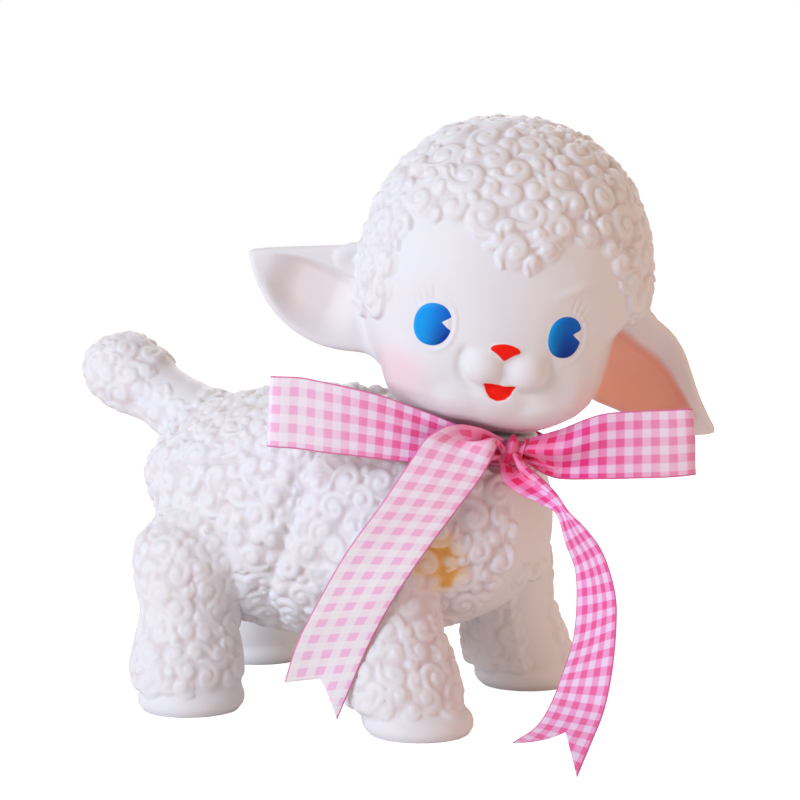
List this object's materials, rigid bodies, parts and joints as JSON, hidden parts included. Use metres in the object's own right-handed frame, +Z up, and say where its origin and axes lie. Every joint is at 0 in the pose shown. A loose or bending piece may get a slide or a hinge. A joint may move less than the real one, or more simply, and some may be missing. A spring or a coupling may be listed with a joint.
{
  "type": "rubber lamb toy",
  "caption": "Hollow soft rubber lamb with moulded curly fleece, a head that turns on a snap-in neck, a squeaker in the belly and a checked ribbon tied in a bow.",
  "frame": {"origin": "middle of the outline's box, on the ground under the feet", "axes": "+X towards the lamb's chest, +Y towards its left side, +Z up"},
  "size_m": [0.1912, 0.1138, 0.1675],
  "materials": {
    "soft_rubber": "satin white soft rubber, pink blush in the ears and cheeks, painted blue eyes and red nose and mouth",
    "gingham": "woven pink and white checked ribbon with a darker selvedge",
    "squeaker_plastic": "plain off-white moulding",
    "reed_brass": "thin rolled strip"
  },
  "bodies": {
    "body": {"body_shell": "soft_rubber", "squeaker_cup": "squeaker_plastic", "squeaker_reed_plate": "squeaker_plastic", "squeaker_reed": "reed_brass", "squeaker_cap": "squeaker_plastic", "ribbon_neckband": "gingham", "ribbon_knot": "gingham", "ribbon_loop_right": "gingham", "ribbon_loop_left": "gingham", "ribbon_tail_right": "gingham", "ribbon_tail_left": "gingham"},
    "head": {"head_shell": "soft_rubber"}
  },
  "joints": [
    {"name": "head_turn", "type": "hinge", "parent": "body", "child": "head", "pos_m": [0.03417, 0.00541, 0.0814], "axis": [0.1564, 0, 0.9877], "range_deg": [-30, 190]}
  ]
}
